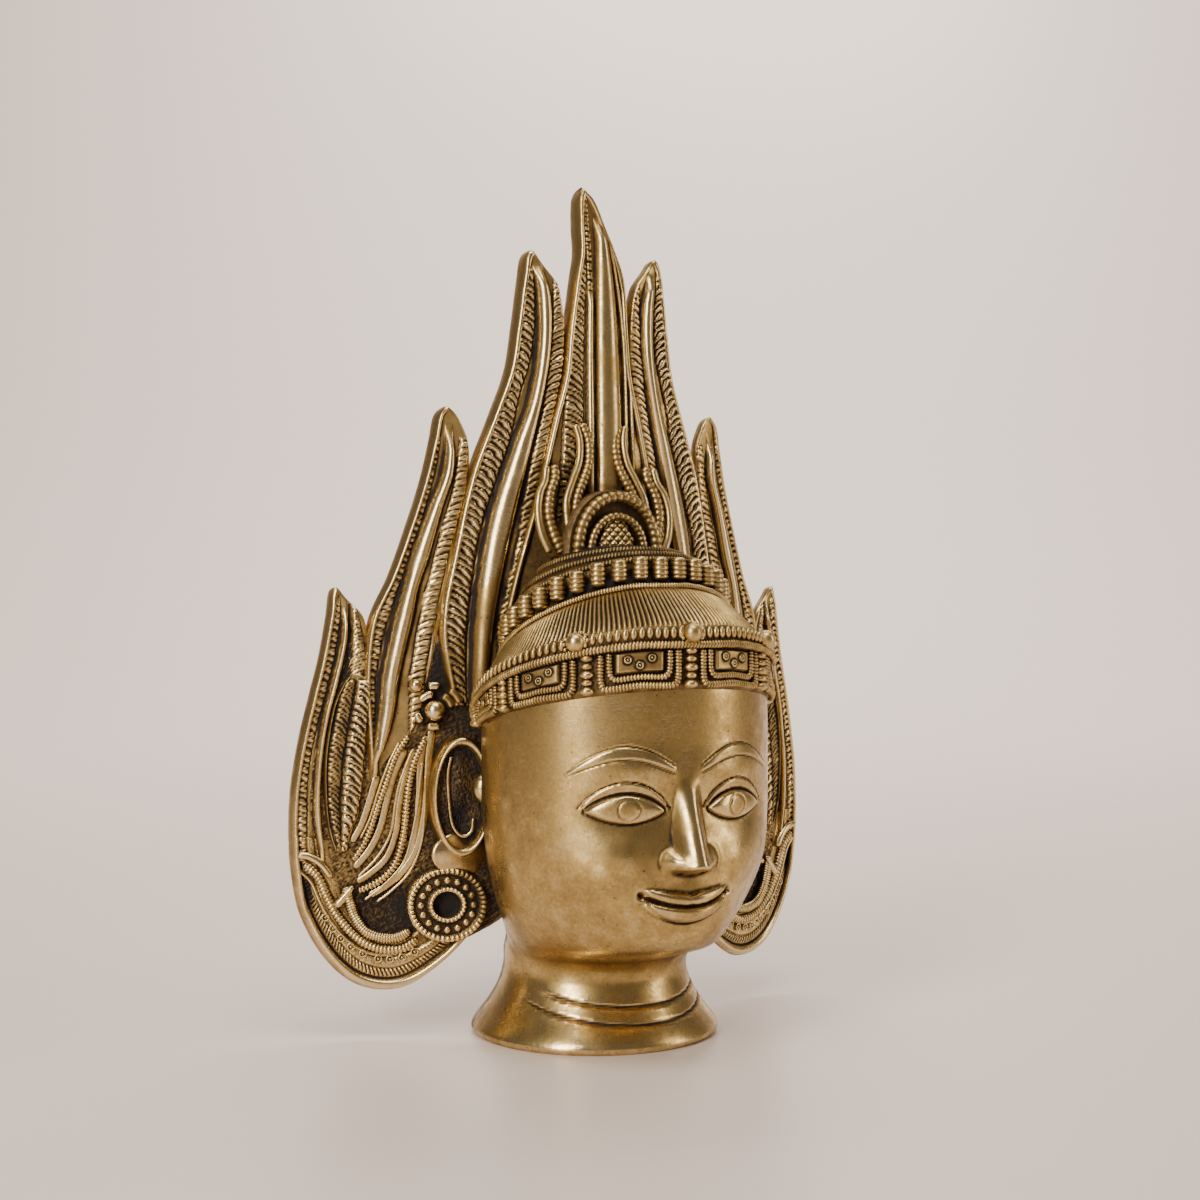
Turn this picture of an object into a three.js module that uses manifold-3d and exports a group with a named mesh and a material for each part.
// Cast brass face mask of a crowned deity: a hollow head on a flared neck, in front of a swept
// screen of flames with a rounded lobe below each ear. One casting, open at the back.
// Millimetres, +Z up, the face looks along -Y. The origin is the middle of the foot print's box.
import * as THREE from "three";
import { mergeVertices } from "three/addons/utils/BufferGeometryUtils.js";
import Module from "manifold-3d";

// Driving dimensions
const RING_BACK = 15.9; // the neck's axis stands this far behind the middle of the whole depth
const EDGE_ROLL = 1.2; // how far the outer edge's rounding draws in from the outline
const WALL = 3.2; // thickness of the head's and neck's wall
const CAVITY_SIDES = 16; // corners of the hollow's sections
const BACK_REACH = 30; // how far the hollow runs back past the neck's axis
const SCREEN_MEET = 7; // depth at which the head's side meets the screen
const NAPE = 30; // height where the neck's tube opens into the hollow's open back
const SCREEN_BACK = 4.2; // depth of the flame screen behind its front surface
const SCREEN_FORE = 2; // the screen's front at its middle, in front of the neck's axis
const SWEEP = 0.45; // slope that the screen tends to, sweeping back on each side
const SWEEP_SOFT = 32; // half width over which that sweep begins
const BROW = 84; // height of the brows
const EYE = { x: 17.5, z: 74, half: 11.5, lid: 5.2 };
const NOSE = { top: 81, tip: 57.5, out: 11.5, half: 8.6 };
const MOUTH = { z: 47, half: 13.5 };
const UPPER_LIP = { rise: 2.2, radius: 2, bow: 1.4 };
const LOWER_LIP = { rise: -2.5, radius: 2.5, bow: 4.6 };
const JAW = { back: 7, near: 13, wide: 33, high: 62, low: 34 }; // cheeks fall back to the chin
const BAND = {
  bottom: 108,
  rope: 121,
  beads: 124.6,
  out: 2,
  stations: 37,
  spread: 124,
  columns: [0, 39, 77, 108],
  columnHalf: 2.6,
  panels: [
    [4, 35],
    [43, 72],
    [82, 104],
  ],
};
const BOSS = { radius: 3.1, angles: [0, 43] };
const PEGS = { count: 15, spread: 104, foot: 138.6, height: 7, radius: 1.9, rope: 137.4 };
const MEDAL = { y: -16, foot: 146, half: 14.2, height: 19.5, margin: 1.4, arch: 0.85 };
const HOOPS = [
  { part: 0.94, radius: 1.6 },
  { part: 0.64, radius: 1.3 },
];
const LICK = 3.2; // half thickness of the small licks beside the medallion
const EAR = { x: -42.6, z: 73.4, half: 9.4, tall: 18.6, deep: 5.6, rim: 1.9, out: 4 };
const TRAGUS = { x: -37.2, z: 75.5, radius: 3.1, out: 5 };
const EARRING = { x: -46.5, z: 40, radius: 11.6, thick: 4 };
const LOCK = 2.4; // radius of a lock of hair

// Head and neck sections: height at the front, half width, y of the section's axis, depth in
// front of it and behind it, and how far it droops behind its front point: in proportion to the
// depth there, and to the depth squared.
const HEAD = [
  [0, 37.2, 0, 37.2, 37.2, 0, 0],
  [1.6, 38.3, 0, 38.3, 38.3, 0, 0],
  [4, 37.2, 0, 37.2, 37.2, 0, 0],
  [9, 33.4, 0, 33.4, 33.4, 0, 0],
  [15, 30, 0, 30, 30, 0, 0],
  [21, 28.4, 0, 28.6, 28.4, 0, 0],
  [26, 29, -2, 30.5, 29.4, 0, 0],
  [29, 30.4, -8, 34, 34, 0, 0],
  [32, 32.2, -14, 36.5, 38, 0, 0],
  [38, 35.6, -19, 37.3, 42, 0, 0],
  [46, 38.9, -21, 38.2, 44, 0, 0],
  [57, 41.9, -22, 38.6, 44, 0, 0],
  [72, 43.4, -22, 38.6, 44, 0.05, 0],
  [90, 43.5, -22, 38.5, 44, 0.15, 0],
  [108, 43.5, -21.5, 39, 43.5, 0.24, 0],
  [121, 43.3, -20, 40.5, 42, 0.27, 0.0016],
  [125, 43, -19.5, 41, 41, 0.28, 0.0016],
  [128.5, 41.5, -18.5, 39, 36, 0.36, 0.001],
  [133.5, 38.5, -16, 35, 30, 0.48, 0],
  [137.4, 35.4, -14, 31.6, 26, 0.54, 0],
  [140, 32, -13, 28.4, 22, 0.52, 0],
  [145.2, 31.2, -13, 27.4, 20, 0.48, 0],
  [148, 24, -12, 21, 16, 0.3, 0],
  [149.6, 12, -10, 11, 9, 0.1, 0],
];

// Flames of the left half, from tip to root: height, then the left and right edge.
const FLAME_TALL = [
  [240, -23.2, -20.8],
  [237, -24.6, -18.6],
  [230, -25.8, -13.2],
  [216, -27.6, -10.8],
  [203, -29.6, -11.8],
  [190, -34, -14.5],
  [172, -40.4, -18.4],
  [150, -45.2, -23],
  [125, -49.2, -28],
  [101, -46, -34],
];
const FLAME_MIDDLE = [
  [192, -47.6, -45.4],
  [189, -49.8, -42.6],
  [182, -51.2, -39.6],
  [170, -53.8, -39.4],
  [155, -58.2, -42.6],
  [140, -63.2, -45.2],
  [127, -68.6, -47.4],
  [110, -70.4, -50.4],
  [94, -69.8, -55],
  [78, -69.4, -64.5],
];
const FLAME_LOW = [
  [137, -78.6, -76.4],
  [134, -79.6, -74.2],
  [128, -80.4, -69],
  [115, -82.6, -67.5],
  [104, -85.1, -73.5],
  [90, -88.1, -79],
  [76, -90.2, -80],
  [64, -90.8, -80],
  [54, -90.4, -80.4],
];
const FLAME_CENTRE = [
  [260, -6.4, -4.8],
  [256.5, -8.1, -0.6],
  [248, -8.5, 3.4],
  [240, -8.2, 7.2],
  [232, -9.4, 10.2],
  [216, -11.6, 11.6],
  [202, -13, 13],
  [188, -16.5, 16.5],
  [166, -21.6, 21.6],
  [142, -28, 28],
  [120, -33, 33],
];
const LEAF = [
  [109.5, -74.5, -66.5],
  [100, -78.4, -67.6],
  [85, -80.6, -69.2],
  [70, -80.2, -71],
  [57, -76, -74],
];

// Relief across a flame, as fraction of its width and height in front of the screen
const FEATHERED = [
  [0, -0.6],
  [0.07, 1.6],
  [0.15, 0.5],
  [0.42, 0.9],
  [0.5, 3],
  [0.6, 3],
  [0.69, 0.8],
  [1, -0.6],
];
const SHAFTED = [
  [0, -0.6],
  [0.27, 0.9],
  [0.36, 2.4],
  [0.47, 1.4],
  [0.56, 3],
  [0.7, 2.8],
  [0.8, 0.9],
  [1, -0.6],
];
const HERRINGBONE = [
  [0, -0.8],
  [0.2, 0.6],
  [0.5, 1.9],
  [0.8, 0.8],
  [1, -0.8],
];

// Outline of the left lobe, from the flame above it round to the jaw, and the line that its
// bands close in on
const LOBE_OUTER = [
  [-89.6, 62],
  [-89.2, 52],
  [-86.6, 37.5],
  [-79.7, 24],
  [-70.2, 15.8],
  [-58, 15],
  [-46, 23.4],
  [-35, 36],
];
const LOBE_INNER = [
  [-79, 60],
  [-76.5, 50],
  [-73.6, 42.5],
  [-70.2, 35],
  [-66, 31.5],
  [-59, 31.2],
  [-54.5, 33],
  [-50, 38],
];
// Helix of the left ear, from the temple over the top and down to the jaw
const HELIX = [
  [-36, 86],
  [-39.5, 90.6],
  [-45, 90.2],
  [-49.6, 84],
  [-50.8, 74],
  [-49.8, 63],
  [-45.5, 57],
  [-39.5, 56.4],
  [-35.5, 60],
];

// Licks of flame on the left of the medallion, and the locks and buds of hair behind the ear
const LICKS = [
  [[-13.5, 148], [-18.5, 156], [-16.8, 164], [-18.6, 173]],
  [[-16.5, 147], [-23, 155], [-21, 165], [-23.5, 173]],
  [[-10.5, 162], [-8, 168], [-10.6, 177], [-8.5, 185]],
  [[-3.4, 164], [-4, 172], [-3, 180], [-3.6, 187.5]],
];
const LOCKS = [
  [[-57, 92], [-62, 84], [-65, 69], [-70.5, 57], [-73, 52]],
  [[-52, 91], [-56, 80], [-58.5, 61], [-66, 47.5], [-72, 44.5]],
];
const BUDS = [
  { x: -54, z: 105, radius: 2.5 },
  { x: -49.5, z: 99.5, radius: 4.2 },
];

// Relief across the lobe, from its outline in
const LOBE_BANDS = [
  [0, -0.8],
  [0.08, 1.5],
  [0.24, 0.5],
  [0.5, 0.5],
  [0.6, 2],
  [0.74, 0.9],
  [0.88, 2.2],
  [1, -1],
];

const plateY = (x) => SWEEP * (Math.hypot(x, SWEEP_SOFT) - SWEEP_SOFT) - SCREEN_FORE;
const radians = THREE.MathUtils.degToRad;
const wasm = await Module();
wasm.setup();

// A value read from a table's column at a height, smooth through the rows.
function readTable(table, at, column) {
  const rising = table[1][0] > table[0][0] ? 1 : -1;
  let i = table.findIndex((row) => (row[0] - at) * rising > 0) - 1;
  if (i < 0) i = (at - table[0][0]) * rising < 0 ? 0 : table.length - 2;
  const slope = (k) => {
    const a = table[Math.max(k - 1, 0)];
    const b = table[Math.min(k + 1, table.length - 1)];
    return (b[column] - a[column]) / (b[0] - a[0]);
  };
  const step = table[i + 1][0] - table[i][0];
  const t = THREE.MathUtils.clamp((at - table[i][0]) / step, 0, 1);
  const start = table[i][column] * (1 + 2 * t) * (1 - t) ** 2;
  const end = table[i + 1][column] * t * t * (3 - 2 * t);
  return start + end + step * t * (1 - t) * (slope(i) * (1 - t) - slope(i + 1) * t);
}

// A mesh's geometry as a solid that can be joined and cut, turned outward if it is inside out.
function solid(geometry) {
  const bare = geometry.index ? geometry.toNonIndexed() : geometry.clone();
  bare.deleteAttribute("normal");
  bare.deleteAttribute("uv");
  const merged = mergeVertices(bare, 1e-4);
  const position = merged.attributes.position;
  const corners = [0, 1, 2].map(() => new THREE.Vector3());
  const kept = [];
  let volume = 0;
  for (let i = 0; i < merged.index.count; i += 3) {
    const abc = [0, 1, 2].map((k) => merged.index.getX(i + k));
    if (abc[0] === abc[1] || abc[1] === abc[2] || abc[2] === abc[0]) continue;
    abc.forEach((index, k) => corners[k].fromBufferAttribute(position, index));
    volume += corners[0].dot(corners[1].clone().cross(corners[2]));
    kept.push(abc);
  }
  if (volume < 0) kept.forEach((abc) => abc.reverse());
  const triVerts = new Uint32Array(kept.flat());
  const vertProperties = position.array;
  return new wasm.Manifold(new wasm.Mesh({ numProp: 3, vertProperties, triVerts }));
}

function geometryOf(points, faces) {
  const geometry = new THREE.BufferGeometry().setFromPoints(points);
  geometry.setIndex(faces.flat());
  return geometry;
}

// A body between a front and a back sheet of the same grid, closed round the border.
function slab(rows, columns, front, back) {
  const points = [];
  for (const sheet of [front, back])
    for (let i = 0; i < rows; i++) for (let j = 0; j < columns; j++) points.push(sheet(i, j));
  const behind = rows * columns;
  const at = (i, j) => i * columns + j;
  const faces = [];
  const quad = (a, b, c, d) => faces.push([a, b, c], [a, c, d]);
  for (let i = 0; i + 1 < rows; i++) {
    for (let j = 0; j + 1 < columns; j++) {
      const corners = [at(i, j), at(i + 1, j), at(i + 1, j + 1), at(i, j + 1)];
      quad(...corners);
      quad(...corners.reverse().map((k) => k + behind));
    }
    quad(at(i + 1, 0), at(i, 0), at(i, 0) + behind, at(i + 1, 0) + behind);
    const j = columns - 1;
    quad(at(i, j), at(i + 1, j), at(i + 1, j) + behind, at(i, j) + behind);
  }
  for (let j = 0; j + 1 < columns; j++) {
    quad(at(0, j), at(0, j + 1), at(0, j + 1) + behind, at(0, j) + behind);
    const i = rows - 1;
    quad(at(i, j + 1), at(i, j), at(i, j) + behind, at(i, j + 1) + behind);
  }
  return solid(geometryOf(points, faces));
}

// A body through rings of equal count, closed by a fan at each end.
function loft(rings) {
  const count = rings[0].length;
  const middle = (ring) =>
    ring.reduce((sum, p) => sum.add(p), new THREE.Vector3()).multiplyScalar(1 / count);
  const points = [...rings.flat(), middle(rings[0]), middle(rings.at(-1))];
  const faces = [];
  for (let i = 0; i + 1 < rings.length; i++)
    for (let j = 0; j < count; j++) {
      const k = (j + 1) % count;
      const [a, b] = [i * count + j, i * count + k];
      faces.push([a, b, b + count], [a, b + count, a + count]);
    }
  const last = (rings.length - 1) * count;
  for (let j = 0; j < count; j++) {
    const k = (j + 1) % count;
    faces.push([k, j, points.length - 2], [last + j, last + k, points.length - 1]);
  }
  return solid(geometryOf(points, faces));
}

// A round rod along a curve whose radius tapers from its middle to its ends.
function rod(points, radius, { sides = 6, steps = 8, taper = 0.5, closed = false } = {}) {
  const curve = new THREE.CatmullRomCurve3(points, closed);
  const frames = curve.computeFrenetFrames(steps, closed);
  const rings = [];
  for (let i = 0; i <= steps; i++) {
    const end = Math.abs((2 * i) / steps - 1) ** 3;
    const size = radius * (1 - taper * end);
    const centre = curve.getPointAt(i / steps);
    rings.push(
      Array.from({ length: sides }, (_, k) => {
        const turn = (2 * Math.PI * k) / sides;
        const out = frames.normals[i].clone().multiplyScalar(Math.cos(turn) * size);
        return out.addScaledVector(frames.binormals[i], Math.sin(turn) * size).add(centre);
      }),
    );
  }
  return loft(rings);
}

const onPlate = (x, z, out = 0) => new THREE.Vector3(x, plateY(x) - out, z);
const mirrored = (part) => part.mirror([1, 0, 0]);
const bothSides = (part) => part.add(mirrored(part));

// Rings across a strip of the screen: relief on the front, then a plain back.
function stripRings(stations, edgesAt, relief, back, lift) {
  return Array.from({ length: stations }, (_, i) => {
    const [left, right] = edgesAt(i / (stations - 1));
    const strength = Math.min(1, left.distanceTo(right) / 12);
    const front = relief.map(([across, height]) => {
      const p = left.clone().lerp(right, across);
      return onPlate(p.x, p.z, height * strength + lift);
    });
    const behind = [0.96, 0.5, 0.04].map((across) => {
      const p = left.clone().lerp(right, across);
      return onPlate(p.x, p.z, -back);
    });
    return [...front, ...behind];
  });
}

// A flame or leaf between two edges that run from its tip to its root.
function flame(table, relief, { back = SCREEN_BACK, stations = 9, lift = 0 } = {}) {
  const [top, root] = [table[0][0], table.at(-1)[0]];
  const edgesAt = (t) => {
    const z = top + (root - top) * t ** 1.3;
    return [1, 2].map((side) => {
      const x = readTable(table, z, side);
      return new THREE.Vector3(x + (side === 1 ? EDGE_ROLL : 0), 0, z);
    });
  };
  return loft(stripRings(stations, edgesAt, relief, back, lift));
}

// The screen's sheet behind the ear and the lobe, between the outline and the head.
function wingSheet() {
  const edge = [
    [120, -76, -26],
    [100, -80, -27],
    [80, -84, -29],
    [60, -85, -29],
    [46, -84, -27.5],
    [36, -80, -30],
    [28, -74, -44],
    [21, -67, -56],
  ];
  const columns = 4;
  const place = (i, j, out) => {
    const [z, left, right] = edge[i];
    return onPlate(left + ((right - left) * j) / (columns - 1), z, out);
  };
  const front = (i, j) => place(i, j, 0);
  const behind = (i, j) => place(i, j, -SCREEN_BACK - 0.3);
  return slab(edge.length, columns, front, behind);
}

// Bands that follow the lobe's outline round its foot.
function lobe() {
  const curveOf = (points) =>
    new THREE.CatmullRomCurve3(points.map(([x, z]) => new THREE.Vector3(x, 0, z)));
  const [outer, inner] = [curveOf(LOBE_OUTER), curveOf(LOBE_INNER)];
  const edgesAt = (t) => [outer.getPoint(t), inner.getPoint(t)];
  return loft(stripRings(12, edgesAt, LOBE_BANDS, SCREEN_BACK + 0.5, 0));
}

// A point of the head's surface at an angle from the front and a level, moved out by an offset.
function headPoint(angle, level, out = 0) {
  const [half, axis, fore, aft, droop, bend] = [1, 2, 3, 4, 5, 6].map((k) =>
    readTable(HEAD, level, k),
  );
  const y = axis - ((Math.cos(angle) > 0 ? fore : aft) + out) * Math.cos(angle);
  const depth = Math.max(y - axis + fore, 0);
  const x = (half + out) * Math.sin(angle);
  return new THREE.Vector3(x, y, level - droop * depth - bend * depth * depth);
}

const bump = (x, z, x0, z0, wide, tall) =>
  Math.exp(-(((x - x0) / wide) ** 2) - ((z - z0) / tall) ** 2);

// How far the cheek falls back from the plain head towards the chin.
const jawFall = (x, z) =>
  JAW.back *
  THREE.MathUtils.smoothstep(Math.abs(x), JAW.near, JAW.wide) *
  THREE.MathUtils.smoothstep(JAW.high - z, 0, JAW.high - JAW.low);

// How far the face stands out in front of the plain head: brow, cheeks, chin and sockets.
function faceRelief(x, z) {
  const side = Math.abs(x);
  return (
    0.9 * bump(side, z, 16, BROW + 1, 14, 5) +
    1.4 * bump(side, z, 21, 58, 10, 10) +
    1.6 * bump(x, z, 0, 36, 12, 6.5) +
    1.8 * bump(x, z, 0, MOUTH.z, 15, 8) -
    1.9 * bump(side, z, EYE.x, EYE.z, 11, 7) -
    0.8 * bump(x, z, 0, 41, 10, 2.6) -
    jawFall(x, z)
  );
}

function headBody() {
  const levels = [0, 1.6, 5, 12, 21, 26, 29, 32, 36, 41, 46, 51, 57, 63, 69, 75, 82, 90];
  levels.push(106, 125, 131, 137, 140, 145.2, 149);
  const sides = 26;
  return loft(
    levels.map((level) =>
      Array.from({ length: sides }, (_, k) => {
        const turn = (2 * k) / sides - 1;
        const angle = Math.PI * (0.55 * turn + 0.45 * turn ** 3);
        const p = headPoint(angle, level);
        if (Math.cos(angle) > 0) p.y -= faceRelief(p.x, p.z) * Math.cos(angle);
        return p;
      }),
    ),
  );
}

// The hollow inside: closed round the neck, open at the back from the nape to the crown, where
// its sides run straight back through the screen.
function cavity() {
  const levels = [-2, 8, 20, 27, 31, 38, 50, 105, 124, 134, 142];
  const openBack = (level, angle) => {
    const [half, axis, , aft] = [1, 2, 3, 4].map((k) => readTable(HEAD, level, k));
    const y = axis - (BACK_REACH - axis) * Math.cos(angle);
    const inside = Math.min((Math.min(y, SCREEN_MEET) - axis) / (aft - WALL), 0.8);
    return [Math.sign(Math.sin(angle)) * (half - WALL) * Math.sqrt(1 - inside * inside), y];
  };
  return loft(
    levels.map((level) =>
      Array.from({ length: CAVITY_SIDES }, (_, k) => {
        const angle = (2 * Math.PI * k) / CAVITY_SIDES;
        const p = headPoint(angle, Math.max(level, 0), -WALL);
        if (Math.cos(angle) > 0 && level > NAPE) p.y += jawFall(p.x, p.z) * Math.cos(angle);
        if (Math.cos(angle) < -1e-6 && level > NAPE) [p.x, p.y] = openBack(level, angle);
        if (k === CAVITY_SIDES / 2) p.x = 0;
        p.z += Math.min(level, 0);
        return p;
      }),
    ),
  );
}

// A point on the face's skin seen from the front, moved out by an offset.
function onFace(x, z, out = 0) {
  const angle = Math.asin(THREE.MathUtils.clamp(x / readTable(HEAD, z, 1), -0.95, 0.95));
  const y = headPoint(angle, z).y - faceRelief(x, z) * Math.cos(angle);
  return new THREE.Vector3(x, y - out, z);
}

function nose() {
  const rows = 7;
  const columns = 5;
  const across = [-1, -0.6, 0, 0.6, 1];
  const height = [0, 0.5, 1, 0.5, 0];
  const place = (i, j, out) => {
    const t = i / (rows - 1);
    const z = NOSE.top - (NOSE.top - NOSE.tip + 3) * t;
    const under = t > 0.93 ? 0.42 : 1;
    const half = 2.6 + (NOSE.half - 2.6) * t ** 2.2;
    const rise = (2 + (NOSE.out - 2) * t ** 1.1) * under;
    return onFace(across[j] * half, z, out === null ? rise * height[j] - 0.6 : -out);
  };
  const front = (i, j) => place(i, j, null);
  const behind = (i, j) => place(i, j, 2.2);
  return slab(rows, columns, front, behind);
}

function lips() {
  const lip = ({ rise, radius, bow }) =>
    rod(
      [-1, -0.6, 0, 0.6, 1].map((s) =>
        onFace(s * MOUTH.half, MOUTH.z + rise + bow * s * s, -0.3 * s * s),
      ),
      radius,
      { sides: 5, steps: 5, taper: 0.75 },
    );
  return lip(UPPER_LIP).add(lip(LOWER_LIP));
}

// An almond eyeball under its upper lid.
function eye() {
  const spread = [-1, -0.5, 0, 0.5, 1];
  const edge = spread.map((s) =>
    onFace(-EYE.x + s * EYE.half, EYE.z + EYE.lid * 0.92 * (1 - s * s), 0.1),
  );
  const lid = rod(edge, 0.9, { sides: 4, steps: 4, taper: 0.5 });
  const ball = new THREE.SphereGeometry(1, 8, 4);
  ball.scale(EYE.half * 0.92, 3.4, EYE.lid * 0.98);
  const middle = onFace(-EYE.x, EYE.z, -1.9);
  ball.rotateZ(Math.atan2(middle.x, -middle.y) * 0.9);
  ball.translate(middle.x, middle.y, middle.z);
  return lid.add(solid(ball));
}

// Brow arches: low ridges from the root of the nose outward.
function brow() {
  const points = [0, 0.25, 0.5, 0.75, 1].map((s) =>
    onFace(-4.5 - 27 * s, BROW + 7.5 * Math.sin(Math.PI * (0.1 + 0.8 * s)) - 4 * s, 0.1),
  );
  return rod(points, 0.8, { sides: 4, steps: 5, taper: 0.6 });
}

// A band laid round the front of the head: a vertical profile of levels and heights, with relief.
function headLoft(stations, spread, profile, inside) {
  return loft(
    Array.from({ length: stations }, (_, i) => {
      const angle = radians(spread * ((2 * i) / (stations - 1) - 1));
      const skin = profile(Math.abs((angle * 180) / Math.PI));
      const front = skin.map(([level, out]) => headPoint(angle, level, out));
      const behind = [skin.at(-1)[0], skin[0][0]].map((level) => headPoint(angle, level, -inside));
      return [...front, ...behind];
    }),
  );
}

// Headband: framed panels between columns of beads, under a rope and a row of beads.
function headband() {
  const bandRelief = (degrees) => {
    const near = (middle, half) => Math.abs(degrees - middle) < half;
    const column = BAND.columns.some((middle) => near(middle, BAND.columnHalf));
    const panel = BAND.panels.find(([from, to]) => degrees > from && degrees < to);
    const field = panel && near((panel[0] + panel[1]) / 2, (panel[1] - panel[0]) / 2 - 6);
    const frame = column ? 2.6 : panel ? 2.2 : 0.9;
    const inner = column ? 2.6 : field ? 1.2 : frame;
    return [
      [BAND.bottom, frame],
      [BAND.bottom + 3.6, frame],
      [BAND.bottom + 4.4, inner],
      [BAND.rope - 1.4, inner],
      [BAND.rope, 3],
      [BAND.beads, 3.6],
      [BAND.beads + 1.6, 1.8],
    ];
  };
  let band = headLoft(BAND.stations, BAND.spread, bandRelief, 1.2);
  for (const angle of BOSS.angles) {
    const boss = new THREE.SphereGeometry(BOSS.radius, 5, 3);
    const at = headPoint(radians(-angle), BAND.beads - 0.4, BAND.out);
    boss.translate(at.x, at.y, at.z);
    band = band.add(angle === 0 ? solid(boss) : bothSides(solid(boss)));
  }
  return band;
}

// The row of upright pegs round the crown, under a thin rope.
function pegs() {
  const rope = [
    [PEGS.rope - 1, 0.3],
    [PEGS.rope, 1.6],
    [PEGS.rope + 1, 0.3],
  ];
  let row = headLoft(15, PEGS.spread + 2, () => rope, 0.8);
  for (let k = 0; k < PEGS.count; k++) {
    const angle = radians(PEGS.spread * ((2 * k) / (PEGS.count - 1) - 1));
    const foot = headPoint(angle, PEGS.foot, 0.6);
    const peg = new THREE.CylinderGeometry(PEGS.radius, PEGS.radius * 0.75, PEGS.height, 4);
    peg.rotateX(Math.PI / 2);
    peg.translate(foot.x, foot.y, foot.z + PEGS.height / 2);
    row = row.add(solid(peg));
  }
  return row;
}

// The arched medallion over the crown, with licks of flame on each side of it.
function crest() {
  const arch = (half, height, front, back, steps) => {
    const outline = new THREE.Shape();
    outline.moveTo(-half, 0);
    for (let k = 0; k <= steps; k++) {
      const turn = Math.PI * (1 - k / steps);
      outline.lineTo(half * Math.cos(turn), height * Math.sin(turn) ** MEDAL.arch);
    }
    const body = new THREE.ExtrudeGeometry(outline, { depth: back - front, bevelEnabled: false });
    body.rotateX(Math.PI / 2);
    body.translate(0, back, MEDAL.foot);
    return solid(body);
  };
  const { y, foot, half, height, margin } = MEDAL;
  const backing = arch(half + margin, height + margin - 0.4, y + 1.5, 3, 8);
  const hoop = ({ part, radius }) =>
    rod(
      Array.from({ length: 9 }, (_, k) => {
        const turn = Math.PI * (1 - k / 8);
        const rise = part * height * Math.sin(turn) ** MEDAL.arch;
        return new THREE.Vector3(part * half * Math.cos(turn), y + 0.6, foot + rise);
      }),
      radius,
      { sides: 4, steps: 7, taper: 0 },
    );
  const boss = new THREE.SphereGeometry(1, 6, 4);
  boss.scale(6.4, 2.2, 9.5);
  boss.translate(0, y + 1.6, foot + 1);
  let body = backing.add(solid(boss));
  for (const size of HOOPS) body = body.add(hoop(size));
  for (const points of LICKS) {
    const path = points.map(([x, z], k) => new THREE.Vector3(x, -7 + 1.3 * k, z));
    body = body.add(bothSides(rod(path, LICK, { sides: 4, steps: 4, taper: 0.45 })));
  }
  return body;
}

// Ear: a raised helix round a low bed, with the small bump at the cheek.
function ear() {
  const { x, z, half, deep, tall } = EAR;
  const path = HELIX.map(([px, pz]) => onPlate(px, pz, EAR.out));
  const rim = rod(path, EAR.rim, { sides: 4, steps: 10, taper: 0.2 });
  const bed = new THREE.SphereGeometry(1, 8, 5);
  bed.scale(half, deep, tall);
  bed.translate(x, plateY(x) + 1.4, z);
  const tragus = new THREE.SphereGeometry(TRAGUS.radius, 6, 4);
  const at = onPlate(TRAGUS.x, TRAGUS.z, TRAGUS.out);
  tragus.translate(at.x, at.y, at.z);
  return rim.add(solid(bed)).add(solid(tragus));
}

// Round ear stud below the ear, turned to face out with the screen.
function earring() {
  const { x, z, radius, thick } = EARRING;
  const section = [
    [0, -2],
    [radius, -2],
    [radius, thick - 0.8],
    [radius - 1.6, thick],
    [radius - 2.4, thick - 1.4],
    [5.8, thick - 1.2],
    [4.6, thick],
    [3.6, 0.4],
    [0, 0.4],
  ].map(([r, h]) => new THREE.Vector2(r, h));
  const disc = new THREE.LatheGeometry(section, 12);
  disc.rotateX(Math.PI);
  const slope = (SWEEP * x) / Math.hypot(x, SWEEP_SOFT);
  disc.rotateZ(Math.atan(slope));
  disc.translate(x, plateY(x) - 1.2, z);
  return solid(disc);
}

// Locks of hair that sweep from the ear's top down and out into the lobe, and the bud above.
function locks() {
  const lock = (path) =>
    rod(path.map(([x, z]) => onPlate(x, z, 0.9)), LOCK, { sides: 4, steps: 6, taper: 0.6 });
  const bud = ({ x, z, radius }) => {
    const ball = new THREE.SphereGeometry(radius, 6, 3);
    const at = onPlate(x, z, 2);
    ball.translate(at.x, at.y, at.z);
    return solid(ball);
  };
  const parts = [...LOCKS.map(lock), ...BUDS.map(bud)];
  return parts.reduce((body, part) => body.add(part));
}

function casting() {
  let wing = wingSheet();
  wing = wing.add(flame(FLAME_LOW, FEATHERED, { back: SCREEN_BACK - 0.3 }));
  wing = wing.add(flame(FLAME_MIDDLE, FEATHERED, { lift: 0.4 }));
  wing = wing.add(flame(FLAME_TALL, FEATHERED, { back: SCREEN_BACK + 0.3, lift: 0.8 }));
  wing = wing.add(flame(LEAF, HERRINGBONE, { back: 2, stations: 6, lift: 0.6 }));
  wing = wing.add(lobe()).add(locks()).add(ear()).add(earring());
  const screen = bothSides(wing).add(
    flame(FLAME_CENTRE, SHAFTED, { back: SCREEN_BACK + 0.6, lift: 1.2 }),
  );
  let head = headBody().add(nose()).add(lips());
  head = head.add(bothSides(eye().add(brow())));
  head = head.add(headband()).add(pegs());
  return screen.add(head).add(crest()).subtract(cavity());
}

function meshOf(body, name, material) {
  const { numProp, vertProperties, triVerts } = body.getMesh();
  const geometry = new THREE.BufferGeometry();
  geometry.setAttribute("position", new THREE.BufferAttribute(vertProperties, numProp));
  geometry.setIndex(new THREE.BufferAttribute(triVerts, 1));
  geometry.computeVertexNormals();
  const mesh = new THREE.Mesh(geometry, material);
  mesh.name = name;
  return mesh;
}

const brass = new THREE.MeshStandardMaterial({ color: 0x8a6a34, roughness: 0.38, metalness: 1 });
const part = new THREE.Group();
const mask = meshOf(casting(), "mask_casting", brass);
mask.position.y = RING_BACK;
part.add(mask);

export default part;
